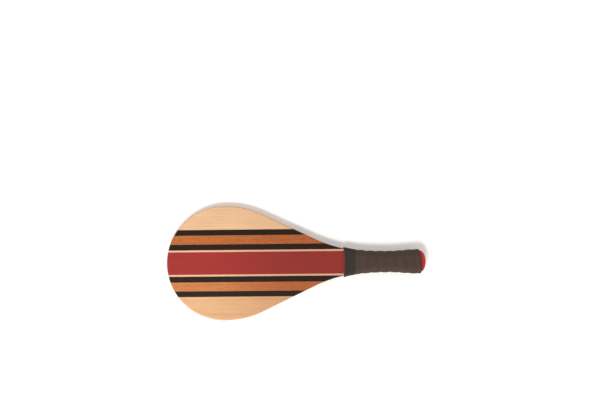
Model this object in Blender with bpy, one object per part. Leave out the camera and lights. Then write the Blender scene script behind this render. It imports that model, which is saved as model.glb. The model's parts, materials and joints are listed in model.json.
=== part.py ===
"""A wooden beach paddle.

The blade is glued up edge to edge from strips of differently coloured wood. Its red centre strip runs on
as the core of the handle, which two scales thicken, a rubber collar closes off and a tape is wound round.

Sizes are in metres. The paddle is drawn flat, with X from the blade's tip to the butt, Y across it and Z
through its thickness, and is then laid down on the plane Z = 0 as it rests on a table. Left and right are
the player's, with the blade pointing away: left is -Y and right is +Y.
"""

import math

import bmesh
import bpy
import numpy as np

# Blade, in order from the tip
TIP_LENGTH = 0.1072  # tip to the widest place, a half-ellipse
SHOULDER_LENGTH = 0.1347  # widest place to where the rear half-ellipse would close
TAPER_REACH = 0.0580  # that closing place to the corner at which the straight tapers aim
THROAT_TO_COLLAR = 0.0284  # that corner to the collar's front
BLADE_WIDTH = 0.2124
MOST_OF_TAPER = 0.9  # share of the straight taper that the throat's curve may take up
THROAT_WIDTH = 0.0634  # between the corners at which the tapers aim
NECK_WIDTH = 0.0506  # at the collar's front
BLADE_THICKNESS = 0.0100
RIM_RADIUS = 0.0020  # rounding of the blade's edge

# Strips of the blade, from the middle outwards; the outer panels fill the rest
CENTRE_STRIP_WIDTH = 0.0418
CREAM_LINE_WIDTH = 0.0035
INNER_DARK_WIDTH = 0.0107
CEDAR_WIDTH = 0.0167
OUTER_DARK_WIDTH = 0.0104
GLUE_LINE = 0.0002  # room for glue between two pieces of wood

# Handle, in order from the collar's front
COLLAR_LENGTH = 0.0214
GRIP_LENGTH = 0.1219  # on its longer side
GRIP_END_SLANT = 0.0043  # how much shorter it is on the right side
BUTT_SHOWING = 0.0084  # bare wood behind the grip's longer side
WAIST_FROM_COLLAR = 0.0623  # collar's rear edge to the narrowest place
WAIST_WIDTH = 0.0356
BUTT_WIDTH = 0.0414
BUTT_ROUND_LENGTH = 0.0135  # length over which the butt rounds off
BUTT_ROUND_POWER = 2.2  # 2 would be an ellipse, more is squarer

# Scales glued to both faces of the core
SCALE_THICKNESS = 0.0070
SCALE_NOSE = 0.0010  # thickness at the front end
SCALE_RAMP = 0.0360  # length over which the nose rises to full thickness
SCALE_BEHIND_COLLAR = 0.0040  # collar's front to the nose
SCALE_SETBACK = 0.0010  # grip's slanting end to the scale's, which slants with it
HANDLE_CORNER_RADIUS = 0.0110  # rounding of the shaped handle
CORE_EDGE_BLEND = 0.0040  # length over which the core's edge returns to the blade's at the grip's end

# Collar and grip tape
WRAP_CLEARANCE = 0.0003  # between the wood and what is wrapped round it
COLLAR_WALL = 0.0025  # at its front
COLLAR_REAR_WALL = 0.0019  # where it comes down to the tape
COLLAR_CHAMFER = 0.0007
COLLAR_TO_TAPE = 0.0004
TAPE_THICKNESS = 0.0018  # in the middle of the tape
TAPE_EDGE_THICKNESS = 0.0011
TAPE_PITCH = 0.0170  # from one turn to the next
TAPE_TURN_GAP = 0.0006
TAPE_START = 0.0033  # collar to the first seam, on the right side
TAPE_POINT_WIDTH = 0.0025  # of the tape's two pointed ends

# Facets
CORNER_POINTS = 6  # along each rounded corner of a handle section
TURN_POINTS = 4 * CORNER_POINTS
TIP_POINTS = 21
SHOULDER_POINTS = 9
THROAT_POINTS = 8
HANDLE_POINTS = 18
BUTT_POINTS = 9
RAMP_STATIONS = 11
GRIP_STATIONS = 14
COLLAR_STATIONS = 6
TAPE_INNER = (0.0, 0.25, 0.5, 0.75, 1.0)  # places across the tape, as shares of its width
TAPE_OUTER = (1.0, 0.93, 0.78, 0.5, 0.22, 0.07, 0.0)
SAW_MARGIN = 0.0050  # how far an uncut plank reaches past the finished form
SMOOTH_ANGLE = math.radians(30)

# Places along the paddle
half_blade = BLADE_WIDTH / 2
half_thickness = BLADE_THICKNESS / 2
throat_x = TIP_LENGTH + SHOULDER_LENGTH + TAPER_REACH
collar_front = throat_x + THROAT_TO_COLLAR
collar_rear = collar_front + COLLAR_LENGTH
grip_front = collar_rear + COLLAR_TO_TAPE
grip_rear = collar_rear + GRIP_LENGTH
butt_x = grip_rear + BUTT_SHOWING
butt_shoulder = butt_x - BUTT_ROUND_LENGTH
waist_x = collar_rear + WAIST_FROM_COLLAR
scale_front = collar_front + SCALE_BEHIND_COLLAR
ramp_rear = scale_front + SCALE_RAMP


def smooth_step(share):
    """0 to 1 with a level start and end."""
    share = np.clip(share, 0, 1)
    return share * share * (3 - 2 * share)


def hermite(x, start, end, start_slope):
    """Cubic from the (x, height) point start to end, leaving at start_slope and arriving level."""
    run = end[0] - start[0]
    share = (x - start[0]) / run
    rise = smooth_step(share)
    lead = share * (1 - share) ** 2
    return start[1] * (1 - rise) + end[1] * rise + lead * run * start_slope


def handle_half_width(x):
    """Half the core's width behind the collar's front: a waist, a flare and the rounded butt."""
    x = np.asarray(x, float)
    neck = (collar_front, NECK_WIDTH / 2)
    waist = (waist_x, WAIST_WIDTH / 2)
    shoulder = (butt_shoulder, BUTT_WIDTH / 2)
    neck_slope = (NECK_WIDTH - THROAT_WIDTH) / 2 / THROAT_TO_COLLAR
    into_round = np.clip((x - butt_shoulder) / BUTT_ROUND_LENGTH, 0, 1)
    rounded = shoulder[1] * (1 - into_round**BUTT_ROUND_POWER) ** (1 / BUTT_ROUND_POWER)
    flare = np.where(x < butt_shoulder, hermite(x, waist, shoulder, 0.0), rounded)
    return np.where(x < waist_x, hermite(x, neck, waist, neck_slope), flare)


def handle_half_thickness(x):
    """Half the handle's thickness in wood: up the step of the nose, then up the ramp to full height."""
    nose = np.interp(x, (collar_front, scale_front), (0.0, SCALE_NOSE))
    ramp = smooth_step((np.asarray(x, float) - scale_front) / SCALE_RAMP)
    return half_thickness + nose + (SCALE_THICKNESS - SCALE_NOSE) * ramp


def corner_radius(thickness):
    """The rounding of a section, which grows from the blade's rim to the handle's with its thickness."""
    share = (thickness - half_thickness) / SCALE_THICKNESS
    return np.minimum(RIM_RADIUS + (HANDLE_CORNER_RADIUS - RIM_RADIUS) * share, thickness)


def around_handle(x, offset, step):
    """Points outside the handle's wood by offset, at steps of a turn that starts at +Y and goes over +Z.

    The section is a rectangle with rounded corners, so an even offset only adds to the corners' radius.
    """
    width = handle_half_width(x)
    thickness = handle_half_thickness(x)
    radius = np.minimum(corner_radius(thickness), width)
    corner, within = np.divmod(np.asarray(step) % TURN_POINTS, CORNER_POINTS)
    angle = (corner + within / (CORNER_POINTS - 1)) * math.pi / 2
    side_y = np.where((corner == 0) | (corner == 3), 1.0, -1.0)
    side_z = np.where(corner < 2, 1.0, -1.0)
    y = side_y * (width - radius) + (radius + offset) * np.cos(angle)
    z = side_z * (thickness - radius) + (radius + offset) * np.sin(angle)
    return np.stack(np.broadcast_arrays(x, y, z), axis=-1)


def grip_end(y):
    """Where the grip ends, on a line across the handle that slants from its left side to its right."""
    return grip_rear - GRIP_END_SLANT * (1 + y / (BUTT_WIDTH / 2)) / 2


def taper_angle():
    """The angle on the rear half-ellipse at which the tangent from the throat's corner touches it."""
    along = (throat_x - TIP_LENGTH) / SHOULDER_LENGTH
    across = THROAT_WIDTH / 2 / half_blade
    return math.atan2(across, along) + math.acos(1 / math.hypot(along, across))


def half_outline():
    """The paddle's outline on the +Y side, from the tip to the butt, as rows of (x, half width)."""
    angle = np.linspace(0, math.pi / 2, TIP_POINTS)
    tip = np.column_stack([TIP_LENGTH * (1 - np.cos(angle)), half_blade * np.sin(angle)])

    angle = np.linspace(math.pi / 2, taper_angle(), SHOULDER_POINTS)[1:]
    shoulder = np.column_stack([TIP_LENGTH + SHOULDER_LENGTH * np.cos(angle), half_blade * np.sin(angle)])

    # The throat is a parabola from the taper to the collar, with both tangents of one length
    corner = np.array([throat_x, THROAT_WIDTH / 2])
    neck = np.array([collar_front, NECK_WIDTH / 2])
    taper = corner - shoulder[-1]
    taper_length = np.linalg.norm(taper)
    blend = min(np.linalg.norm(neck - corner), MOST_OF_TAPER * taper_length)
    start = corner - taper * blend / taper_length
    t = np.linspace(0, 1, THROAT_POINTS)[:, None]
    throat = start * (1 - t) ** 2 + corner * 2 * t * (1 - t) + neck * t**2

    x = np.linspace(collar_front, butt_shoulder, HANDLE_POINTS)[1:]
    handle = np.column_stack([x, handle_half_width(x)])

    angle = np.linspace(0, math.pi / 2, BUTT_POINTS)[1:]
    reach = np.sin(angle) ** (2 / BUTT_ROUND_POWER)
    narrow = np.cos(angle).clip(0) ** (2 / BUTT_ROUND_POWER)
    butt = np.column_stack([butt_shoulder + BUTT_ROUND_LENGTH * reach, BUTT_WIDTH / 2 * narrow])
    butt[-1, 1] = 0.0
    return np.vstack([tip, shoulder, throat, handle, butt])


def linear_colour(hex_colour):
    """An sRGB hex colour as linear red, green and blue."""
    srgb = np.array([int(hex_colour[i : i + 2], 16) for i in (1, 3, 5)]) / 255
    return np.where(srgb <= 0.04045, srgb / 12.92, ((srgb + 0.055) / 1.055) ** 2.4)


def material(name, hex_colour, roughness):
    """A plain non-metal finish."""
    made = bpy.data.materials.new(name)
    made.use_nodes = True
    shader = made.node_tree.nodes["Principled BSDF"]
    shader.inputs["Base Color"].default_value = (*linear_colour(hex_colour), 1.0)
    shader.inputs["Roughness"].default_value = roughness
    shader.inputs["Metallic"].default_value = 0.0
    return made


def add_object(name, points, faces, finish):
    """A closed mesh with its faces turned outwards, carried by the resting paddle."""
    mesh = bpy.data.meshes.new(name)
    mesh.from_pydata([tuple(point) for point in points], [], faces)
    shell = bmesh.new()
    shell.from_mesh(mesh)
    bmesh.ops.recalc_face_normals(shell, faces=shell.faces)
    shell.to_mesh(mesh)
    shell.free()
    mesh.shade_smooth()
    mesh.set_sharp_from_angle(angle=SMOOTH_ANGLE)
    if finish:
        mesh.materials.append(finish)
    obj = bpy.data.objects.new(name, mesh)
    obj.parent = paddle
    bpy.context.scene.collection.objects.link(obj)
    return obj


def tube_faces(rings, around, loop=False):
    """Quads between consecutive closed rings of points, with end caps unless the rings form a loop."""
    faces = []
    for ring in range(rings if loop else rings - 1):
        here, there = ring * around, (ring + 1) % rings * around
        for i in range(around):
            j = (i + 1) % around
            faces.append((here + i, here + j, there + j, there + i))
    if not loop:
        faces.append(tuple(range(around)))
        faces.append(tuple(range((rings - 1) * around, rings * around)))
    return faces


def add_cutter(name, points, faces):
    """A hidden form that planks are cut to."""
    cutter = add_object(name, points, faces, None)
    cutter.hide_render = True
    cutter.display_type = "WIRE"
    return cutter


def add_blank():
    """The sawn and rounded board: its edge profile carried round the outline, closed by two flat faces."""
    side = half_outline()
    outline = np.vstack([side, side[-2:0:-1] * (1, -1)])
    ahead = np.roll(outline, -1, axis=0) - np.roll(outline, 1, axis=0)
    outward = np.column_stack([-ahead[:, 1], ahead[:, 0]])
    outward /= np.linalg.norm(outward, axis=1, keepdims=True)

    # Under the wrappings the edge is shaped with the scales, elsewhere it has the blade's rounding
    x, y = outline.T
    to_butt = np.clip((grip_end(y) - x) / CORE_EDGE_BLEND + 0.5, 0, 1)
    swell = half_thickness + (handle_half_thickness(x) - half_thickness) * to_butt
    radius = corner_radius(swell)
    flat_to = swell - radius
    turn = np.linspace(0, math.pi / 2, CORNER_POINTS)
    upper = []
    for share in np.sin(turn):
        z = flat_to + (half_thickness - flat_to) * share
        inset = radius * np.interp((z - flat_to) / radius, np.sin(turn), 1 - np.cos(turn))
        upper.append(np.column_stack([outline - outward * inset[:, None], z]))
    lower = [level * (1, 1, -1) for level in upper]
    levels = upper[::-1] + lower
    return add_cutter("blank_form", np.vstack(levels), tube_faces(len(levels), len(outline)))


def add_handle_form():
    """The shaped handle, core and scales together, as rings along it."""
    ramp = np.linspace(collar_front, ramp_rear, RAMP_STATIONS)
    grip = np.linspace(ramp_rear, grip_rear + SCALE_SETBACK, GRIP_STATIONS)[1:]
    stations = np.concatenate([ramp, grip])
    points = around_handle(stations[:, None], 0.0, np.arange(TURN_POINTS)[None, :])
    return add_cutter("handle_form", points.reshape(-1, 3), tube_faces(len(stations), TURN_POINTS))


def add_plank(name, low, high, form, finish, slant=0.0):
    """A plank between two corners, cut to a form. Its rear end slants forwards by slant towards +Y."""
    plan = ((low[0], low[1]), (high[0], low[1]), (high[0] - slant, high[1]), (low[0], high[1]))
    corners = [(x, y, z) for z in (low[2], high[2]) for x, y in plan]
    plank = add_object(name, corners, tube_faces(2, len(plan)), finish)
    cut = plank.modifiers.new("cut to form", "BOOLEAN")
    cut.operation = "INTERSECT"
    cut.solver = "EXACT"
    cut.object = form
    return plank


def add_strips(blank):
    """The centre strip from tip to butt, and the strips beside it, which end under the grip."""
    front = -SAW_MARGIN
    faces_z = half_thickness + SAW_MARGIN
    edge = CENTRE_STRIP_WIDTH / 2
    low = (front, -edge + GLUE_LINE / 2, -faces_z)
    high = (butt_x + SAW_MARGIN, edge - GLUE_LINE / 2, faces_z)
    red = material("red_stained_hardwood", "#a23c37", 0.35)
    add_plank("centre_strip", low, high, blank, red)

    dark = material("dark_hardwood", "#34281f", 0.35)
    beside = (
        ("cream_line", CREAM_LINE_WIDTH, material("pale_veneer", "#f4c09c", 0.35)),
        ("inner_dark_strip", INNER_DARK_WIDTH, dark),
        ("cedar_strip", CEDAR_WIDTH, material("cedar", "#c07442", 0.35)),
        ("outer_dark_strip", OUTER_DARK_WIDTH, dark),
        ("pale_panel", half_blade, material("pale_softwood", "#e9bd90", 0.35)),
    )
    rear = collar_rear + SAW_MARGIN
    for kind, width, finish in beside:
        near = edge + GLUE_LINE / 2
        far = edge + width - GLUE_LINE / 2
        add_plank(f"{kind}_left", (front, -far, -faces_z), (rear, -near, faces_z), blank, finish)
        add_plank(f"{kind}_right", (front, near, -faces_z), (rear, far, faces_z), blank, finish)
        edge += width


def add_scales(form):
    """The two halves that thicken the handle, glued to the core's faces."""
    wood = material("handle_scale_wood", "#c9a071", 0.6)
    width = max(NECK_WIDTH, BUTT_WIDTH) / 2 + SAW_MARGIN
    seat = half_thickness + GLUE_LINE
    top = half_thickness + SCALE_THICKNESS + SAW_MARGIN
    rear = grip_end(-width) - SCALE_SETBACK
    slant = grip_end(-width) - grip_end(width)
    add_plank("handle_scale_front", (scale_front, -width, seat), (rear, width, top), form, wood, slant)
    add_plank("handle_scale_back", (scale_front, -width, -top), (rear, width, -seat), form, wood, slant)


def add_collar():
    """A rubber sleeve stretched over the noses of the scales, with its outer edges broken."""
    over_nose = np.linspace(scale_front - WRAP_CLEARANCE, collar_rear, COLLAR_STATIONS)
    inside = np.concatenate([[collar_front], over_nose])
    outside = np.linspace(collar_rear - COLLAR_CHAMFER, collar_front + COLLAR_CHAMFER, COLLAR_STATIONS)
    outer = WRAP_CLEARANCE + np.linspace(COLLAR_REAR_WALL, COLLAR_WALL, COLLAR_STATIONS)
    edges = outer[[0, -1]] - COLLAR_CHAMFER
    x = np.concatenate([inside, [collar_rear], outside, [collar_front]])
    offset = np.concatenate([np.full(len(inside), WRAP_CLEARANCE), edges[:1], outer, edges[1:]])
    points = around_handle(x[:, None], offset[:, None], np.arange(TURN_POINTS)[None, :])
    faces = tube_faces(len(x), TURN_POINTS, loop=True)
    return add_object("grip_collar", points.reshape(-1, 3), faces, material("collar_rubber", "#3d3a36", 0.6))


def share_of_turn():
    """How much of the way round the grip each step of a turn has gone, from 0."""
    middle = (grip_front + grip_rear) / 2
    section = around_handle(middle, WRAP_CLEARANCE, np.arange(TURN_POINTS + 1))
    gone = np.concatenate([[0.0], np.cumsum(np.linalg.norm(np.diff(section, axis=0), axis=1))])
    return gone[:TURN_POINTS] / gone[-1]


def add_tape():
    """One tape wound round the handle from the collar, where its pointed end lies square, to the grip's end.

    The seam between turns climbs by the pitch in each turn. The tape fills what lies between two seams.
    """
    turns = math.ceil((grip_rear - grip_front) / TAPE_PITCH) + 1
    step = np.arange(turns * TURN_POINTS)
    wound = step // TURN_POINTS - 1 + share_of_turn()[step % TURN_POINTS]
    seam = grip_front + TAPE_START + TAPE_PITCH * wound
    front = np.maximum(seam + TAPE_TURN_GAP / 2, grip_front)
    last = grip_end(around_handle(grip_rear, 0.0, step)[:, 1])
    rear = np.minimum(seam + TAPE_PITCH - TAPE_TURN_GAP / 2, last)
    kept = rear - front >= TAPE_POINT_WIDTH
    step, front, rear = step[kept], front[kept], rear[kept]

    across = np.array(TAPE_INNER + TAPE_OUTER)
    crown = TAPE_EDGE_THICKNESS + (TAPE_THICKNESS - TAPE_EDGE_THICKNESS) * (1 - (2 * across - 1) ** 2)
    raised = WRAP_CLEARANCE + np.where(np.arange(len(across)) < len(TAPE_INNER), 0.0, crown)
    x = front[:, None] + (rear - front)[:, None] * across
    rings = around_handle(x, raised[None, :], step[:, None])
    gap = least_gap(rings)
    print(f"grip tape: {len(rings) / TURN_POINTS:.1f} turns, least gap to itself {gap * 1000:.2f} mm")
    tape = material("grip_tape", "#50423d", 0.75)
    return add_object("grip_tape", rings.reshape(-1, 3), tube_faces(len(rings), len(across)), tape)


def least_gap(rings):
    """The least distance between points of the tape that lie half a turn or more apart along it."""
    least = math.inf
    for apart in range(TURN_POINTS // 2, TURN_POINTS * 3 // 2):
        first, second = rings[:-apart, :, None, :], rings[apart:, None, :, :]
        if len(first):
            least = min(least, np.linalg.norm(first - second, axis=-1).min())
    return least


def lay_down(forms):
    """Turns the flat paddle about Y until the line it rests on, from the tip to the grip, is level on Z = 0.

    That line is the edge of its side view's lower hull that passes under the blade's widest place.
    """
    points = np.array([vertex.co for form in forms for vertex in form.data.vertices], float)
    side = sorted({(x, z) for x, _, z in points})
    hull = []
    for x, z in side:
        while len(hull) > 1 and (hull[-1][0] - hull[-2][0]) * (z - hull[-2][1]) <= (
            hull[-1][1] - hull[-2][1]
        ) * (x - hull[-2][0]):
            hull.pop()
        hull.append((x, z))
    (x0, z0), (x1, z1) = next(pair for pair in zip(hull, hull[1:]) if pair[1][0] > TIP_LENGTH)
    turn = math.atan2(z1 - z0, x1 - x0)
    turned_x = points[:, 0] * math.cos(turn) + points[:, 2] * math.sin(turn)
    turned_z = points[:, 2] * math.cos(turn) - points[:, 0] * math.sin(turn)
    paddle.rotation_euler = (0.0, turn, 0.0)
    paddle.location = (-(turned_x.min() + turned_x.max()) / 2, 0.0, -turned_z.min())
    print(f"rests {x0 * 1000:.1f} and {x1 * 1000:.1f} mm from the tip")
    print(f"turned {math.degrees(turn):.3f} degrees")


for old in list(bpy.data.objects):
    bpy.data.objects.remove(old)
paddle = bpy.data.objects.new("resting_paddle", None)
bpy.context.scene.collection.objects.link(paddle)
blank_form = add_blank()
add_strips(blank_form)
add_scales(add_handle_form())
lay_down([blank_form, add_collar(), add_tape()])
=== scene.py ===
"""A wooden beach paddle lying on a white table, seen from straight above.

Its shape is worked out flat, in metres: x runs from the blade's tip to the butt, y across the blade and z
through its thickness, with z = 0 in the middle of the board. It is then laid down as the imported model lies.
"""

import json
import math

import bmesh
import bpy
import numpy as np
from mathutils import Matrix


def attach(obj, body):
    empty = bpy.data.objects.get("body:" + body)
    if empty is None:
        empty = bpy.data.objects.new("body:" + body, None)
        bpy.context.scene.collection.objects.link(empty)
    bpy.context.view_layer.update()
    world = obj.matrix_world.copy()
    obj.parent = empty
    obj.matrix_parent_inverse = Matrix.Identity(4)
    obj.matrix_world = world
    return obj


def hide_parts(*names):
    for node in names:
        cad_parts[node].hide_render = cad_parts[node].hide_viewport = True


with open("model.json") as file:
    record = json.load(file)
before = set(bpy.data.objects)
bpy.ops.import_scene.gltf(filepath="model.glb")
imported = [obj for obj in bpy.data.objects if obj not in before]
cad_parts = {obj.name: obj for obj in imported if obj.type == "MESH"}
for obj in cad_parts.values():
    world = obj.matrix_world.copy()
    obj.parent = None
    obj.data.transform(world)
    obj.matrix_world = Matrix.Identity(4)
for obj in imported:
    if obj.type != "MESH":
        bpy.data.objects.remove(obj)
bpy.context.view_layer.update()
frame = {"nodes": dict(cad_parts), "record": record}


# Centre strip. A board of hardwood, stained red, that runs from the blade's tip through the handle to the
# butt. The other strips are glued to its edges. The whole board is then sawn to the outline, its rim is
# rounded over with a router, and it is sanded and lacquered.
tip_length = 0.1072  # tip to the widest place
shoulder_length = 0.1347  # widest place to where the rear half-ellipse would close
taper_reach = 0.0580  # that closing place to the corner at which the straight tapers aim
throat_to_collar = 0.0284
half_blade = 0.1062
half_throat = 0.0317  # at the corner at which the tapers aim
half_neck = 0.0253  # at the collar's front
collar_length = 0.0214
waist_from_collar = 0.0623
half_waist = 0.0178
grip_length = 0.1219  # on its longer side
grip_end_slant = 0.0043  # how much shorter it is on the right side
butt_showing = 0.0084
half_butt = 0.0207
butt_round_length = 0.0135
butt_round_power = 2.2  # 2 would be an ellipse, more is squarer
half_thickness = 0.0050
rim_radius = 0.0020
half_centre = 0.0209
glue_line = 0.00004  # the film of glue between two strips

throat_x = tip_length + shoulder_length + taper_reach
collar_front = throat_x + throat_to_collar
collar_rear = collar_front + collar_length
waist_x = collar_rear + waist_from_collar
grip_rear = collar_rear + grip_length
butt_x = grip_rear + butt_showing
butt_shoulder = butt_x - butt_round_length


def smooth_step(share):
    """0 to 1 with a level start and end."""
    share = np.clip(share, 0, 1)
    return share * share * (3 - 2 * share)


def hermite(x, start, end, start_slope):
    """Cubic from the (x, height) point start to end, leaving at start_slope and arriving level."""
    run = end[0] - start[0]
    share = (x - start[0]) / run
    rise = smooth_step(share)
    return start[1] * (1 - rise) + end[1] * rise + share * (1 - share) ** 2 * run * start_slope


def handle_half_width(x):
    """Half the handle's width in wood: one cubic from the neck to the waist, one from there to the butt's
    shoulder, and a superellipse round the butt."""
    x = np.asarray(x, float)
    neck_slope = (half_neck - half_throat) / throat_to_collar
    neck = hermite(x, (collar_front, half_neck), (waist_x, half_waist), neck_slope)
    flare = hermite(x, (waist_x, half_waist), (butt_shoulder, half_butt), 0.0)
    into_round = np.clip((x - butt_shoulder) / butt_round_length, 0, 1)
    rounded = half_butt * (1 - into_round**butt_round_power) ** (1 / butt_round_power)
    return np.select([x < waist_x, x < butt_shoulder], [neck, flare], rounded)


# How many points each stretch of the outline has
tip_points = 241
shoulder_points = 161
taper_points = 61
throat_points = 61
handle_points = 241
butt_points = 81


def half_outline():
    """The outline on the +y side from tip to butt, as closely set (x, y) points: a quarter of an ellipse to
    the widest place, part of a second one to the tangent from the throat's corner, that tangent, a parabola
    into the neck, the handle's width, and the round of the butt."""
    angle = np.linspace(0, math.pi / 2, tip_points)
    tip = np.column_stack([tip_length * (1 - np.cos(angle)), half_blade * np.sin(angle)])

    reach = (throat_x - tip_length) / shoulder_length
    narrowed = half_throat / half_blade
    leave = math.atan2(narrowed, reach) + math.acos(1 / math.hypot(reach, narrowed))
    angle = np.linspace(math.pi / 2, leave, shoulder_points)[1:]
    shoulder = np.column_stack([tip_length + shoulder_length * np.cos(angle), half_blade * np.sin(angle)])

    corner = np.array([throat_x, half_throat])
    neck = np.array([collar_front, half_neck])
    taper = shoulder[-1] - corner
    start = corner + taper * np.linalg.norm(neck - corner) / np.linalg.norm(taper)
    straight = np.linspace(shoulder[-1], start, taper_points)[1:-1]
    t = np.linspace(0, 1, throat_points)[:, None]
    throat = start * (1 - t) ** 2 + corner * 2 * t * (1 - t) + neck * t**2

    x = np.linspace(collar_front, butt_shoulder, handle_points)[1:]
    handle = np.column_stack([x, handle_half_width(x)])
    angle = np.linspace(0, math.pi / 2, butt_points)[1:]
    round_x = butt_shoulder + butt_round_length * np.sin(angle) ** (2 / butt_round_power)
    round_y = half_butt * np.cos(angle).clip(0) ** (2 / butt_round_power)
    return np.vstack([tip, shoulder, straight, throat, handle, np.column_stack([round_x, round_y])])


half = half_outline()
arc = np.concatenate([[0.0], np.cumsum(np.linalg.norm(np.diff(half, axis=0), axis=1))])
ahead = np.gradient(half, arc, axis=0)
outward = np.column_stack([-ahead[:, 1], ahead[:, 0]]) / np.linalg.norm(ahead, axis=1, keepdims=True)
outward[[0, -1]] = (-1, 0), (1, 0)
outline = np.vstack([half, half[-2:0:-1] * (1, -1)])
outward = np.vstack([outward, outward[-2:0:-1] * (1, -1)])
full_turn = len(outline)
stations = np.arange(full_turn)
widest = np.argmax(half[:, 1])
waist = np.searchsorted(half[:, 0], waist_x)

# The rim's profile, from the flat of the front over the rounding to the flat of the back
flat_margin = 0.0004  # a last ring on the flat, so that the rounding's shading ends there
rounding_points = 8
rim_turn = np.linspace(math.pi / 2, 0, rounding_points)
over_inset = np.concatenate([[rim_radius + flat_margin], rim_radius * (1 - np.cos(rim_turn))])
over_z = np.concatenate([[half_thickness], half_thickness - rim_radius * (1 - np.sin(rim_turn))])
rim_inset = np.concatenate([over_inset, over_inset[::-1]])
rim_z = np.concatenate([over_z, -over_z[::-1]])
rim_share = np.clip(1 - rim_inset / rim_radius, 0, 1)
levels = outline - outward * rim_inset[:, None, None]


def front_edge(y):
    """Where each level of the rim crosses the line y on the tip's side, as a place along the outline."""
    return np.array([np.interp(y, level[: widest + 1, 1], stations[: widest + 1]) for level in levels])


def rear_edge(y):
    """The same between the widest place and the waist."""
    return np.array([np.interp(-y, -level[widest:waist, 1], stations[widest:waist]) for level in levels])


def rim_between(start, end, count):
    """The rim from one place along the outline to another: every level of its profile, count points long."""
    at = start[:, None] + (end - start)[:, None] * np.linspace(0, 1, count)
    places = list(zip(at, levels))
    x = np.array([np.interp(row, stations, level[:, 0], period=full_turn) for row, level in places])
    y = np.array([np.interp(row, stations, level[:, 1], period=full_turn) for row, level in places])
    return np.stack([x, y, np.broadcast_to(rim_z[:, None], x.shape)], axis=-1)


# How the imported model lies: the blade's upward direction, its tip, and the middle of its board
up = np.array(next(m["axis"] for m in frame["record"]["mounts"] if m["name"] == "blade_front_face"))
across = np.array([0.0, 1.0, 0.0])
along = np.cross(across, up)
core = np.empty(3 * len(frame["nodes"]["centre_strip"].data.vertices))
frame["nodes"]["centre_strip"].data.vertices.foreach_get("co", core)
core = core.reshape(-1, 3)
tip_place = (core @ along).min()
middle_height = ((core @ up).min() + (core @ up).max()) / 2
resting_turn = math.asin(along[2])


def laid_down(points):
    """Flat points in the resting paddle's frame: x along it from the tip, y across, z up from the middle."""
    x, y, z = points[..., 0, None], points[..., 1, None], points[..., 2, None]
    return (x + tip_place) * along + y * across + (z + middle_height) * up


crisp_angle = math.radians(40)  # an edge that turns more than this isn't shaded smooth


def add_piece(name, points, faces, finish, node, attribute, values):
    """A closed mesh of flat paddle points that stands for a CAD node, with one attribute value a point."""
    mesh = bpy.data.meshes.new(name)
    mesh.from_pydata(laid_down(points).tolist(), [], faces)
    shell = bmesh.new()
    shell.from_mesh(mesh)
    bmesh.ops.recalc_face_normals(shell, faces=shell.faces)
    shell.to_mesh(mesh)
    shell.free()
    mesh.shade_smooth()
    mesh.set_sharp_from_angle(angle=crisp_angle)
    mesh.attributes.new(attribute, "FLOAT_VECTOR", "POINT").data.foreach_set("vector", values.ravel())
    mesh.materials.append(finish)
    piece = bpy.data.objects.new(name, mesh)
    bpy.context.scene.collection.objects.link(piece)
    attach(piece, "root")
    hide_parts(node)


def add_plank(node, rims, side, finish):
    """A strip of the board: its stretches of rim, joined by straight glued edges, and its two flat faces.

    Each stretch is a grid of rim levels by places along the outline. Faces and glued edges are single
    polygons between the stretches' ends. Side 1 is the drawn half and -1 its mirror image.
    """
    grids, count = [], 0
    for rim in rims:
        grids.append(count + np.arange(rim[..., 0].size).reshape(rim.shape[:2]))
        count += rim[..., 0].size
    faces = []
    for grid, following in zip(grids, grids[1:] + grids[:1]):
        quads = np.stack([grid[:-1, :-1], grid[:-1, 1:], grid[1:, 1:], grid[1:, :-1]], axis=-1)
        faces += quads.reshape(-1, 4).tolist()
        faces.append(np.concatenate([grid[:, -1], following[::-1, 0]]).tolist())
    faces.append(np.concatenate([grid[0] for grid in grids]).tolist())
    faces.append(np.concatenate([grid[-1] for grid in grids])[::-1].tolist())
    points = np.vstack([rim.reshape(-1, 3) for rim in rims]) * (1, side, 1)
    share = np.concatenate([np.repeat(rim_share, rim.shape[1]) for rim in rims])
    add_piece(f"{node}_wood", points, faces, finish, node, "rim", np.column_stack([share] * 3))


def linear(hex_colour):
    """An sRGB hex colour as linear red, green, blue and alpha, by the two pieces of the sRGB curve."""
    srgb = np.array([int(hex_colour[i : i + 2], 16) for i in (1, 3, 5)]) / 255
    return (*np.where(srgb <= 0.04045, srgb / 12.92, ((srgb + 0.055) / 1.055) ** 2.4), 1.0)


def add_node(tree, kind, settings, inputs):
    """Adds a shader node, sets its properties, and feeds its inputs with values, nodes or their outputs."""
    made = tree.nodes.new(f"ShaderNode{kind}")
    for key, value in settings.items():
        setattr(made, key, value)
    for key, value in inputs.items():
        free = [s for s in made.inputs if s.enabled and key in (s.name, s.identifier)]
        if isinstance(value, bpy.types.Node):
            value = next(s for s in value.outputs if s.enabled)
        if isinstance(value, bpy.types.NodeSocket):
            tree.links.new(value, free[0])
        else:
            free[0].default_value = value
    return made


def new_tree(name):
    """A new material and its empty tree of nodes."""
    made = bpy.data.materials.new(name)
    made.use_nodes = True
    made.node_tree.nodes.clear()
    return made, made.node_tree


# Stained hardwood, open-pored and sanded: a deep even red, in which pores and fibres only just show, and a
# satin lacquer that fills most of the grain. The colour darkens from the tip towards the throat. The butt is
# painted paler again, painted light against its shade, and a painted shadow runs along the tape's end.
darkening_from = (0.06, 0.24)  # from the tip, over which the colour darkens
paler_from = (0.44, 0.47)  # over which it is painted paler again, painted light on the butt
painted_shadow_line = grip_rear - grip_end_slant / 2  # where the tape's end crosses the middle of the butt
painted_shadow_reach = 0.0045  # how far from it the painted shadow reaches
satin_roughness = 0.30
satin_coat = 0.06

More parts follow.
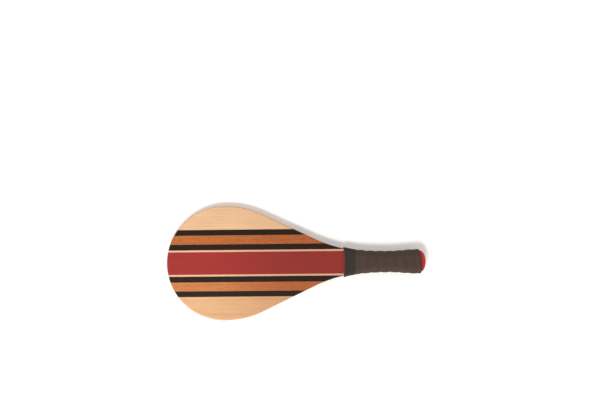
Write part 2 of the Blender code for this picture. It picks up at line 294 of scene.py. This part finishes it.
# How the grain of all the woods lies, in metres
pith_beside, pith_below = 0.16, 0.11  # from the middle of the board to the heart of the tree
waver_drawn_out = 0.06  # share to which the rings' waver is slowed along the grain
waver_size = 0.03
season_length, season_width = 0.12, 0.014  # of a run of years with clear or faint rings
fibre_stretch, pore_stretch, mottle_stretch = 50.0, 22.0, 2.6  # length over width

# Which values of a noise or wave, or of a share, count: none below the first, full from the second
faint_to_clear_years = (0.38, 0.66)
early_to_late_wood = (0.25, 1.0)
most_of_noise = (0.34, 0.66)
dark_end_of_noise = (0.56, 0.72)
side_to_end_grain = (0.45, 1.0)
face_to_rim = (0.15, 1.0)

# Shares of the deep colour
end_grain_share = 0.22
rim_darkening_share = 0.38
painted_shadow_share = 0.6
gloss_change = (-0.04, 0.10)  # of the roughness, in the palest and in the darkest wood


def lacquered_wood(
    name, colours, deep, rings, fibres, pores, mottle, roughness=satin_roughness, coat=satin_coat,
):
    """Sanded wood under clear lacquer, with its grain along the paddle.

    Growth rings are cylinders about a pith that lies beside and under the board, so they show as long lines
    on its faces and as arcs on its sawn ends. Fibres are a noise drawn out along the grain, pores the dark
    end of a shorter one, and mottle a slow cloudiness. Each has its width across the grain in metres and the
    share of the deep colour that it brings. Real fibres and pores, a tenth to a third of a millimetre wide,
    would not show, so they are drawn wider. Colours are those at the tip, at the throat and, where the wood
    reaches it, at the butt.
    """
    made, tree = new_tree(name)
    place = add_node(tree, "TexCoord", {}, {})
    flat = add_node(tree, "Mapping", {}, {
        "Vector": place.outputs["Object"],
        "Rotation": (0.0, resting_turn, 0.0),
        "Location": (-tip_place, 0.0, -middle_height),
    })
    from_tip = add_node(tree, "SeparateXYZ", {}, {"Vector": flat})
    throat_darkening = add_node(tree, "MapRange", {"interpolation_type": "SMOOTHSTEP"}, {
        "Value": from_tip, "From Min": darkening_from[0], "From Max": darkening_from[1],
    })
    stained = add_node(tree, "Mix", {"data_type": "RGBA"}, {
        "Factor": throat_darkening, "A": linear(colours[0]), "B": linear(colours[1]),
    })
    # Painted light: on the butt the colour turns to the last one, which for the red is paler than the tip's,
    # against the shade there
    paling = add_node(tree, "MapRange", {"interpolation_type": "SMOOTHSTEP"}, {
        "Value": from_tip, "From Min": paler_from[0], "From Max": paler_from[1],
    })
    pale = add_node(tree, "Mix", {"data_type": "RGBA"}, {
        "Factor": paling, "A": stained, "B": linear(colours[-1]),
    })

    # Rings: the wave texture's rings are 2 pi / 20 apart at scale 1, and a slow noise makes some years faint
    beside_pith = add_node(tree, "Mapping", {}, {
        "Vector": flat, "Location": (0.0, pith_beside, pith_below), "Scale": (waver_drawn_out, 1.0, 1.0),
    })
    ring_scale = math.tau / 20 / rings[0]
    ring = add_node(tree, "TexWave", {"wave_type": "RINGS", "rings_direction": "X"}, {
        "Vector": beside_pith, "Scale": ring_scale, "Distortion": 5.0, "Detail": 2.0,
        "Detail Scale": 1 / (ring_scale * waver_size),
    })
    slow = add_node(tree, "VectorMath", {"operation": "MULTIPLY"}, {
        "Vector": flat, "Vector_001": (1 / season_length, 1 / season_width, 1 / season_width),
    })
    season = add_node(tree, "TexNoise", {}, {"Vector": slow, "Scale": 1.0, "Detail": 1.0})
    kept = add_node(tree, "MapRange", {"interpolation_type": "SMOOTHSTEP"}, {
        "Value": season.outputs["Fac"],
        "From Min": faint_to_clear_years[0], "From Max": faint_to_clear_years[1], "To Max": rings[1],
    })
    late = add_node(tree, "MapRange", {"interpolation_type": "SMOOTHSTEP"}, {
        "Value": ring.outputs["Fac"],
        "From Min": early_to_late_wood[0], "From Max": early_to_late_wood[1], "To Max": kept,
    })
    shares = [late]
    for (width, share), stretch, (low, high) in (
        (fibres, fibre_stretch, most_of_noise),
        (pores, pore_stretch, dark_end_of_noise),
        (mottle, mottle_stretch, most_of_noise),
    ):
        drawn_out = add_node(tree, "VectorMath", {"operation": "MULTIPLY"}, {
            "Vector": flat, "Vector_001": (1 / (width * stretch), 1 / width, 1 / width),
        })
        noise = add_node(tree, "TexNoise", {}, {"Vector": drawn_out, "Scale": 1.0, "Detail": 2.0})
        shares.append(add_node(tree, "MapRange", {"interpolation_type": "SMOOTHSTEP"}, {
            "Value": noise.outputs["Fac"], "From Min": low, "From Max": high, "To Max": share,
        }))

    # Sawn ends drink more lacquer, and the rounded rim is darker
    end_grain = add_node(tree, "VectorMath", {"operation": "DOT_PRODUCT"}, {
        "Vector": place.outputs["Normal"], "Vector_001": (1.0, 0.0, 0.0),
    })
    facing = add_node(tree, "Math", {"operation": "ABSOLUTE"}, {"Value": end_grain.outputs["Value"]})
    shares.append(add_node(tree, "MapRange", {}, {
        "Value": facing,
        "From Min": side_to_end_grain[0], "From Max": side_to_end_grain[1], "To Max": end_grain_share,
    }))
    rim = add_node(tree, "Attribute", {"attribute_name": "rim"}, {})
    shares.append(add_node(tree, "MapRange", {}, {
        "Value": rim.outputs["Fac"],
        "From Min": face_to_rim[0], "From Max": face_to_rim[1], "To Max": rim_darkening_share,
    }))

    # Painted shadow: the wood is darkened along the tape's slanting end, where the grip's raised end shades
    # the butt
    past_tape = add_node(tree, "VectorMath", {"operation": "DOT_PRODUCT"}, {
        "Vector": flat, "Vector_001": (1.0, grip_end_slant / half_butt / 2, 0.0),
    })
    beyond = add_node(tree, "Math", {"operation": "SUBTRACT"}, {
        "Value": past_tape.outputs["Value"], "Value_001": painted_shadow_line,
    })
    either_way = add_node(tree, "Math", {"operation": "ABSOLUTE"}, {"Value": beyond})
    shares.append(add_node(tree, "MapRange", {"interpolation_type": "SMOOTHSTEP"}, {
        "Value": either_way, "From Min": painted_shadow_reach, "From Max": 0.0, "To Max": painted_shadow_share,
    }))

    total = shares[0]
    for share in shares[1:]:
        total = add_node(tree, "Math", {"operation": "ADD"}, {"Value": total, "Value_001": share})
    colour = add_node(tree, "Mix", {"data_type": "RGBA", "clamp_factor": True}, {
        "Factor": total, "A": pale, "B": linear(deep),
    })
    gloss = add_node(tree, "MapRange", {}, {
        "Value": total, "To Min": roughness + gloss_change[0], "To Max": roughness + gloss_change[1],
    })
    relief = add_node(tree, "Math", {"operation": "ADD"}, {"Value": shares[1], "Value_001": shares[2]})
    bump = add_node(tree, "Bump", {"invert": True}, {
        "Height": relief, "Strength": 0.35, "Distance": 0.0002,
    })
    shader = add_node(tree, "BsdfPrincipled", {}, {
        "Base Color": colour, "Roughness": gloss, "Normal": bump, "IOR": 1.5, "Specular IOR Level": 0.3,
        "Coat Weight": coat, "Coat Roughness": 0.12,
    })
    add_node(tree, "OutputMaterial", {}, {"Surface": shader})
    return made


# The third red, on the butt, is paler than the tip's: painted light against the shade of the grip's end
red_wood = lacquered_wood(
    "hardwood, stained red and lacquered", ("#ad3833", "#95352f", "#bc3d38"), "#6e1c1a",
    rings=(0.006, 0.05), fibres=(0.0009, 0.10), pores=(0.0006, 0.14), mottle=(0.012, 0.06),
)
centre_edge = half_centre - glue_line / 2
front, rear = front_edge(centre_edge), rear_edge(centre_edge)
tip_rim_points, handle_rim_points = 61, 241
add_plank(
    "centre_strip",
    [rim_between(-front, front, tip_rim_points), rim_between(rear, full_turn - rear, handle_rim_points)],
    1, red_wood,
)


# Cream lines. A strip of pale maple veneer along each side of the centre strip, glued in on edge, that sets
# the red off against the dark wood.
cream_width = 0.0035
strip_end_points = 25

# Maple, sliced: an even pale cream with hardly any grain, only faint threads of fibre
cream_wood = lacquered_wood(
    "maple veneer, sliced and lacquered", ("#f6c2a2", "#dca98c"), "#c98f68",
    rings=(0.003, 0.06), fibres=(0.0007, 0.16), pores=(0.0005, 0.10), mottle=(0.010, 0.06),
)


def add_pair(kind, inner, outer, finishes):
    """A strip on the right of the blade and its mirror image on the left, between two distances from the
    middle, with sawn ends at the tip's side and at the throat's side. It gives back the outer distance."""
    near, far = inner + glue_line / 2, outer - glue_line / 2
    ends = [
        rim_between(front_edge(near), front_edge(far), strip_end_points),
        rim_between(rear_edge(far), rear_edge(near), strip_end_points),
    ]
    add_plank(f"{kind}_right", ends, 1, finishes[0])
    add_plank(f"{kind}_left", ends, -1, finishes[-1])
    return outer


edge = add_pair("cream_line", half_centre, half_centre + cream_width, [cream_wood])


# Dark and cedar strips. On each side a nearly black hardwood, an orange-brown cedar and the dark wood again,
# sawn from straight boards and glued up edge to edge.
inner_dark_width = 0.0107
cedar_width = 0.0167
outer_dark_width = 0.0104

# Wenge, planed: nearly black, with fine brown streaks of softer wood
dark_wood = lacquered_wood(
    "wenge, planed and lacquered", ("#2d1d13", "#2c1d13"), "#120a07",
    rings=(0.0022, 0.25), fibres=(0.0008, 0.25), pores=(0.0006, 0.25), mottle=(0.015, 0.10),
)
# Cedar, planed: warm orange-brown, cloudy across the grain, flecked with short dark pores
cedar_right = lacquered_wood(
    "cedar, planed and lacquered", ("#ce773d", "#bb6838"), "#6f3411",
    rings=(0.007, 0.08), fibres=(0.0010, 0.14), pores=(0.0007, 0.30), mottle=(0.0030, 0.26),
)
cedar_left = lacquered_wood(
    "cedar, paler board, planed and lacquered", ("#db8b51", "#b8673a"), "#7c3c16",
    rings=(0.007, 0.08), fibres=(0.0010, 0.14), pores=(0.0007, 0.16), mottle=(0.0040, 0.15),
)
edge = add_pair("inner_dark_strip", edge, edge + inner_dark_width, [dark_wood])
edge = add_pair("cedar_strip", edge, edge + cedar_width, [cedar_right, cedar_left])
edge = add_pair("outer_dark_strip", edge, edge + outer_dark_width, [dark_wood])


# Pale panels. The two outer boards of the blade, of pale straight-grained lime wood, whose outer edge is the
# blade's round side.
side_rim_points = 181

# Lime wood, planed: creamy peach, with long faint growth lines and hardly any pores. Its fibres are the
# faintest of all, so they are drawn widest
pale_right = lacquered_wood(
    "lime wood, planed and lacquered", ("#f2c89e", "#e6b991"), "#b9773f",
    rings=(0.0056, 0.12), fibres=(0.0022, 0.13), pores=(0.0007, 0.05), mottle=(0.018, 0.08),
)
pale_left = lacquered_wood(
    "lime wood, warmer board, planed and lacquered", ("#eebd8d", "#d5a276"), "#b06c36",
    rings=(0.0056, 0.12), fibres=(0.0022, 0.13), pores=(0.0007, 0.05), mottle=(0.018, 0.08),
)
panel_edge = edge + glue_line / 2
panel_rim = [rim_between(front_edge(panel_edge), rear_edge(panel_edge), side_rim_points)]
add_plank("pale_panel_right", panel_rim, 1, pale_right)
add_plank("pale_panel_left", panel_rim, -1, pale_left)


# Handle scales. Two shaped pieces of plain wood on the core's faces that make the handle thick enough to
# hold. The grip hides all but their sanded, unlacquered ends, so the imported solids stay.
bare_roughness = 0.60

# Beech, sanded: a matte straw brown with short darker flecks
scale_wood = lacquered_wood(
    "beech, sanded and left bare", ("#d2ab7c", "#c9a071"), "#8a5f38",
    rings=(0.0030, 0.12), fibres=(0.0009, 0.12), pores=(0.0005, 0.15), mottle=(0.012, 0.06),
    roughness=bare_roughness, coat=0.0,
)
for node in ("handle_scale_front", "handle_scale_back"):
    frame["nodes"][node].data.materials.clear()
    frame["nodes"][node].data.materials.append(scale_wood)


# Collar. A sleeve of dark grey rubber, moulded and stretched over the neck, where the handle swells out of
# the blade. It covers the noses of the scales, and the tape starts close behind it.
scale_thickness = 0.0070
scale_nose = 0.0010  # a scale's thickness at its front end
scale_ramp = 0.0360  # length over which it swells to its full thickness
scale_behind_collar = 0.0040  # from the collar's front to a scale's
handle_corner_radius = 0.0110  # where the scales are at their thickest
wrap_clearance = 0.0003  # between the wood and what is wrapped round it
collar_wall = 0.0025  # at its front
collar_rear_wall = 0.0019  # where it comes down to the tape
collar_lip = 0.0005  # rounding of its rear edge
collar_bead = 0.0015  # rounding of its front edge
collar_waist = 0.0002  # how much the stretched rubber dips between its lips
collar_arc = 0.0020  # how far its front edge is drawn back in the middle of each face
collar_arc_reach = half_centre + cream_width  # from the middle, across the red strip and a cream line
turn_points = 120  # round the handle
sleeve_points = 16  # along the collar
lip_points = 7


def handle_half_thickness(x):
    """Half the handle's thickness in wood: up the step of the scale's nose, then up its ramp."""
    scale_front = collar_front + scale_behind_collar
    nose = np.interp(x, (collar_front, scale_front), (0.0, scale_nose))
    ramp = smooth_step((x - scale_front) / scale_ramp)
    return half_thickness + nose + (scale_thickness - scale_nose) * ramp


def around_handle(x, raised, turn):
    """Points raised above the handle's wood, a share of a turn round it from +y over +z.

    The section is a rectangle with rounded corners. A quarter of it is half of a side, the arc of a corner
    and half of a face, and the other quarters mirror it.
    """
    width, thickness = handle_half_width(x), handle_half_thickness(x)
    swell = (thickness - half_thickness) / scale_thickness
    radius = np.minimum(rim_radius + (handle_corner_radius - rim_radius) * swell, width)
    side, corner, face = thickness - radius, radius * math.pi / 2, width - radius
    quarter, within = np.divmod(turn % 1.0 * 4, 1.0)
    gone = np.where(quarter % 2 == 0, within, 1 - within) * (side + corner + face)
    angle = np.clip((gone - side) / radius, 0, math.pi / 2)
    y = face + (radius + raised) * np.cos(angle) - np.clip(gone - side - corner, 0, None)
    z = np.minimum(gone, side) + (radius + raised) * np.sin(angle)
    y = np.where((quarter == 0) | (quarter == 3), y, -y)
    z = np.where(quarter < 2, z, -z)
    return np.stack(np.broadcast_arrays(x, y, z), axis=-1)


def ring_faces(rings, around, joined):
    """Quads between neighbouring closed rings. The last ring joins the first, or both ends get a cap."""
    grid = np.arange(rings * around).reshape(rings, around)
    there = np.roll(grid, -1, axis=0)
    quads = np.stack([grid, np.roll(grid, -1, axis=1), np.roll(there, -1, axis=1), there], axis=-1)
    if joined:
        return quads.reshape(-1, 4).tolist()
    return quads[:-1].reshape(-1, 4).tolist() + [grid[0].tolist(), grid[-1][::-1].tolist()]


# The sleeve's section: along the inside, over the rear lip, back along the outside and over the front lip
lip = np.linspace(0, math.pi / 2, lip_points)
inside_x = np.linspace(collar_front, collar_rear, sleeve_points)
outside_x = np.linspace(collar_rear - collar_lip, collar_front + collar_bead, sleeve_points)[1:-1]
dip = collar_waist * np.sin(np.linspace(0, math.pi, sleeve_points)[1:-1])
outer_rear, outer_front = wrap_clearance + collar_rear_wall, wrap_clearance + collar_wall
collar_x = np.concatenate([
    inside_x,
    collar_rear - collar_lip * (1 - np.cos(lip)),
    outside_x,
    collar_front + collar_bead * (1 - np.cos(lip[::-1])),
])
collar_raised = np.concatenate([
    np.full(sleeve_points, wrap_clearance),
    outer_rear - collar_lip * (1 - np.sin(lip)),
    np.linspace(outer_rear, outer_front, sleeve_points)[1:-1] - dip,
    outer_front - collar_bead * (1 - np.sin(lip[::-1])),
])
turn = np.arange(turn_points) / turn_points

# Its front edge is an arc across each face, and its inner rim there still hugs the board
beside_neck = around_handle(collar_front, 0.0, turn)[:, 1]
drawn_back = collar_arc * np.clip(1 - (beside_neck / collar_arc_reach) ** 2, 0, 1)
towards_front = (collar_rear - collar_x) / collar_length
sleeve_x = collar_x[:, None] + towards_front[:, None] * drawn_back
sleeve_raised = np.repeat(collar_raised[:, None], turn_points, axis=1)
sleeve_raised[0] -= handle_half_thickness(sleeve_x[0]) - half_thickness
sleeve = around_handle(sleeve_x, sleeve_raised, turn)
lip_share = np.concatenate([
    np.zeros(len(inside_x)), np.sin(2 * lip), np.zeros(len(outside_x)), np.sin(2 * lip),
])

# Rubber, moulded: matte dark grey with a fine tooled texture, a little paler on the rounding of its lips.
# Tooling of 0.3 mm would not show, so it is drawn 1.2 mm wide
grit_size = 0.0012
grey_cloud_size = 0.015
lip_paler_share = 0.9
rubber, tree = new_tree("rubber, moulded, dark grey")
place = add_node(tree, "TexCoord", {}, {})
grit = add_node(tree, "TexNoise", {}, {
    "Vector": place.outputs["Object"], "Scale": 1 / grit_size, "Detail": 3.0,
})
cloud = add_node(tree, "TexNoise", {}, {
    "Vector": place.outputs["Object"], "Scale": 1 / grey_cloud_size, "Detail": 2.0,
})
lip_rounding = add_node(tree, "Attribute", {"attribute_name": "lip"}, {})
tone = add_node(tree, "Mix", {"data_type": "RGBA"}, {
    "Factor": cloud.outputs["Fac"], "A": linear("#2a241e"), "B": linear("#342c25"),
})
paling = add_node(tree, "MapRange", {}, {"Value": lip_rounding.outputs["Fac"], "To Max": lip_paler_share})
colour = add_node(tree, "Mix", {"data_type": "RGBA"}, {"Factor": paling, "A": tone, "B": linear("#423a32")})
dull = add_node(tree, "MapRange", {}, {"Value": grit.outputs["Fac"], "To Min": 0.55, "To Max": 0.75})
bump = add_node(tree, "Bump", {}, {"Height": grit.outputs["Fac"], "Strength": 0.4, "Distance": 0.0002})
shader = add_node(tree, "BsdfPrincipled", {}, {
    "Base Color": colour, "Roughness": dull, "Normal": bump, "IOR": 1.5, "Specular IOR Level": 0.25,
})
add_node(tree, "OutputMaterial", {}, {"Surface": shader})
lip_values = np.repeat(lip_share, turn_points)
add_piece(
    "grip_collar_sleeve", sleeve.reshape(-1, 3), ring_faces(len(collar_x), turn_points, True), rubber,
    "grip_collar", "lip", np.column_stack([lip_values] * 3),
)


# Grip tape. One strip of brown synthetic leather, wound round the handle in a spiral from the butt, where
# its end is trimmed aslant, to the collar. Each turn's rear edge laps over the turn behind it.
collar_to_tape = 0.0001
tape_pitch = 0.0170
tape_start = 0.0033  # collar to the first seam, on the right side
tape_lap = 0.0022  # how far a turn reaches over the next one behind it
tape_thickness = 0.0018  # in the middle of the cushioned tape
tape_edge = 0.0011  # beside a seam
tape_tuck = 0.0006  # of the skived edge that lies under the turn before
tuck_run = 0.0016  # length over which the tape swells out from under that turn
tape_bend = 0.0045  # length over which the tape climbs on to the next turn
lap_thinning = 0.62  # share by which the stretched tape is thinner there
tape_edge_round = 0.0006
edge_least = 0.3  # share of the thickness left at the very edge
crown_power = 3  # 2 would be a parabola across the tape, more is flatter in the middle
tape_point_width = 0.0025  # the tape's two ends are cut where it is this narrow
lap_gap = 0.00005  # between a turn and the one that it laps over
edge_points, top_points, under_points = 6, 24, 20  # across the tape

grip_front = collar_rear + collar_to_tape


def grip_end(y):
    """Where the grip ends at a place across the handle: on a line aslant, further forward on the right."""
    return grip_rear - grip_end_slant * (1 + y / half_butt) / 2


turns = math.ceil((grip_rear - grip_front) / tape_pitch) + 1
wound = np.arange(-turn_points, turns * turn_points) / turn_points
seam = grip_front + tape_start + tape_pitch * (wound - 1)
tape_front = np.maximum(seam, grip_front)
beside_handle = around_handle(grip_rear, 0.0, wound)[:, 1]
tape_rear = np.minimum(seam + tape_pitch + tape_lap, grip_end(beside_handle))
kept = tape_rear - tape_front >= tape_point_width
wound, seam, tape_front, tape_rear = wound[kept], seam[kept], tape_front[kept], tape_rear[kept]

# Across the tape: its underside from front to rear, then its top back over two rounded edges
width = tape_rear - tape_front
edge_round = np.minimum(tape_edge_round, width / 4)[:, None]
edge_turn = np.linspace(0, math.pi / 2, edge_points)
edge_in = edge_round * (1 - np.cos(edge_turn))
inner_share = np.linspace(0, 1, top_points)[1:-1]
top_middle = tape_front[:, None] + edge_round + (width[:, None] - 2 * edge_round) * inner_share
under_x = tape_front[:, None] + width[:, None] * np.linspace(0, 1, under_points)
top_x = np.hstack([
    tape_front[:, None] + edge_in,
    top_middle,
    (tape_rear[:, None] - edge_in)[:, ::-1],
])[:, ::-1]
edge_height = edge_least + (1 - edge_least) * np.sin(edge_turn)
top_height = np.concatenate([edge_height, np.ones(len(inner_share)), edge_height[::-1]])
tape_x = np.hstack([under_x, top_x])
on_width = tape_x - seam[:, None]
off_middle = np.clip(np.abs(2 * (on_width - tape_lap) / tape_pitch - 1), 0, 1)
cushion = tape_thickness - (tape_thickness - tape_edge) * off_middle**crown_power
swelling = smooth_step((on_width - tape_lap) / tuck_run + 0.5)
first_turn = seam < grip_front
swelling[first_turn] = 1.0
tape_height = tape_tuck + (cushion - tape_tuck) * swelling
tape_height = tape_height * np.concatenate([np.zeros(under_points), top_height])
climb = smooth_step((on_width - tape_pitch + tape_bend) / tape_bend)
tape_raised = wrap_clearance + climb * (tape_tuck + lap_gap) + tape_height * (1 - lap_thinning * climb)
winding = around_handle(tape_x, tape_raised, wound[:, None])

# Places on the tape in metres, along it and across it, which its grain follows, and how far it has climbed
girth = 0.105  # about once round the handle
on_tape = np.stack(np.broadcast_arrays(wound[:, None] * girth, on_width, climb), axis=-1)

# Synthetic leather, embossed: matte brown with a fine pebbled grain, darker beside each lapping edge, partly
# dirt and partly painted shade. Pebbles of 0.6 mm would not show, so they are drawn 1.4 mm wide
pebble_size = 0.0014
brown_cloud_size = 0.03
seam_shade_reach = 0.002
seam_shade_share = 0.06
pebble_shade_share = 0.24
leather, tree = new_tree("synthetic leather, embossed, brown")
strip = add_node(tree, "Attribute", {"attribute_name": "on_tape"}, {})
pebble = add_node(tree, "TexVoronoi", {"feature": "SMOOTH_F1"}, {
    "Vector": strip.outputs["Vector"], "Scale": 1 / pebble_size, "Smoothness": 0.6,
})
cloud = add_node(tree, "TexNoise", {}, {
    "Vector": strip.outputs["Vector"], "Scale": 1 / brown_cloud_size, "Detail": 3.0,
})
across_tape = add_node(tree, "SeparateXYZ", {}, {"Vector": strip.outputs["Vector"]})
# Partly dirt and partly painted shade, beside the edge of the turn that laps over
seam_dirt_and_shade = add_node(tree, "MapRange", {"interpolation_type": "SMOOTHSTEP"}, {
    "Value": across_tape.outputs["Y"],
    "From Min": tape_lap + seam_shade_reach, "From Max": tape_lap, "To Max": seam_shade_share,
})
tone = add_node(tree, "Mix", {"data_type": "RGBA"}, {
    "Factor": cloud.outputs["Fac"], "A": linear("#45342d"), "B": linear("#513e37"),
})
grain = add_node(tree, "MapRange", {}, {
    "Value": pebble.outputs["Distance"], "From Min": 0.2, "From Max": 0.8, "To Max": pebble_shade_share,
})
shade = add_node(tree, "Math", {"operation": "MAXIMUM"}, {"Value": seam_dirt_and_shade, "Value_001": grain})
colour = add_node(tree, "Mix", {"data_type": "RGBA"}, {"Factor": shade, "A": tone, "B": linear("#33261e")})
dull = add_node(tree, "MapRange", {}, {"Value": cloud.outputs["Fac"], "To Min": 0.62, "To Max": 0.82})
bump = add_node(tree, "Bump", {"invert": True}, {
    "Height": pebble.outputs["Distance"], "Strength": 0.3, "Distance": 0.0003,
})
shader = add_node(tree, "BsdfPrincipled", {}, {
    "Base Color": colour, "Roughness": dull, "Normal": bump, "IOR": 1.5, "Specular IOR Level": 0.25,
})
add_node(tree, "OutputMaterial", {}, {"Surface": shader})
add_piece(
    "grip_tape_winding", winding.reshape(-1, 3), ring_faces(*tape_x.shape, False), leather,
    "grip_tape", "on_tape", on_tape.reshape(-1, 3),
)


# Table, light and camera. The paddle lies on a matte white table under one large softbox, which stands high
# in front and a little to the tip's side, with pale walls all round and a dark ceiling. The camera hangs
# straight above.
table_reach = 3.0
table_lift = 0.285  # light that the table adds in the camera's eyes, so that it reads as white
corners = np.array([(-1, -1, 0), (1, -1, 0), (1, 1, 0), (-1, 1, 0)]) * table_reach
table_mesh = bpy.data.meshes.new("white_table")
table_mesh.from_pydata(corners.tolist(), [], [(0, 1, 2, 3)])
table = bpy.data.objects.new("white_table", table_mesh)
bpy.context.scene.collection.objects.link(table)

# White laminate: it reads as plain white where the light falls on it, and keeps the paddle's soft shadow
laminate, tree = new_tree("white laminate, matte")
rays = add_node(tree, "LightPath", {}, {})
seen = add_node(tree, "Math", {"operation": "MAXIMUM"}, {
    "Value": rays.outputs["Is Camera Ray"], "Value_001": rays.outputs["Is Glossy Ray"],
})
seen = add_node(tree, "Math", {"operation": "MAXIMUM"}, {
    "Value": seen, "Value_001": rays.outputs["Is Transmission Ray"],
})
brighter = add_node(tree, "Math", {"operation": "MULTIPLY"}, {"Value": seen, "Value_001": table_lift})
white = add_node(tree, "BsdfDiffuse", {}, {"Color": linear("#ecebe9")})
lift = add_node(tree, "Emission", {}, {"Color": linear("#fff7f0"), "Strength": brighter})
both = add_node(tree, "AddShader", {}, {"Shader": white, "Shader_001": lift})
add_node(tree, "OutputMaterial", {}, {"Surface": both})
table_mesh.materials.append(laminate)

# The room: brightest level with the table, and darker the higher one looks
wall_strength, ceiling_strength = 1.46, 0.04
room = bpy.data.worlds.new("pale room")
room.use_nodes = True
room.node_tree.nodes.clear()
tree = room.node_tree
direction = add_node(tree, "TexCoord", {}, {})
height = add_node(tree, "SeparateXYZ", {}, {"Vector": direction.outputs["Generated"]})
glow = add_node(tree, "MapRange", {}, {
    "Value": height.outputs["Z"], "To Min": wall_strength, "To Max": ceiling_strength,
})
air = add_node(tree, "Background", {}, {"Color": (1.0, 1.0, 1.0, 1.0), "Strength": glow})
add_node(tree, "OutputWorld", {}, {"Surface": air})
bpy.context.scene.world = room

softbox_distance = 6.0
softbox_height_angle = math.radians(55.5)
softbox_side_angle = math.radians(24)  # from straight in front towards the tip's side
softbox_width = 2.8
softbox_depth = 1.5
softbox_power = 250.0
lamp = bpy.data.lights.new("softbox", "AREA")
lamp.shape = "RECTANGLE"
lamp.size = softbox_width
lamp.size_y = softbox_depth
lamp.energy = softbox_power
softbox = bpy.data.objects.new("softbox", lamp)
level = softbox_distance * math.cos(softbox_height_angle)
softbox.location = (
    -level * math.sin(softbox_side_angle),
    -level * math.cos(softbox_side_angle),
    softbox_distance * math.sin(softbox_height_angle),
)
softbox.rotation_euler = (math.pi / 2 - softbox_height_angle, 0.0, -softbox_side_angle)
bpy.context.scene.collection.objects.link(softbox)

photo_width = 600  # pixels
metres_a_pixel = 0.001856  # at the paddle
paddle_from_middle = (-4.1, -62.5)  # pixels, right and up, from the picture's middle to the paddle's
paddle_slant = math.radians(0.64)  # how much the paddle's line rises to the right
camera_height = 1.6
face_height = 0.013
lens = bpy.data.cameras.new("overhead")
lens.sensor_width = 36.0
lens.lens = lens.sensor_width * (camera_height - face_height) / (photo_width * metres_a_pixel)
camera = bpy.data.objects.new("overhead", lens)
right = -paddle_from_middle[0] * metres_a_pixel
upward = -paddle_from_middle[1] * metres_a_pixel
camera.location = (
    right * math.cos(paddle_slant) + upward * math.sin(paddle_slant),
    upward * math.cos(paddle_slant) - right * math.sin(paddle_slant),
    camera_height,
)
camera.rotation_euler = (0.0, 0.0, -paddle_slant)
bpy.context.scene.collection.objects.link(camera)
bpy.context.scene.camera = camera
bpy.context.scene.view_settings.view_transform = "Standard"
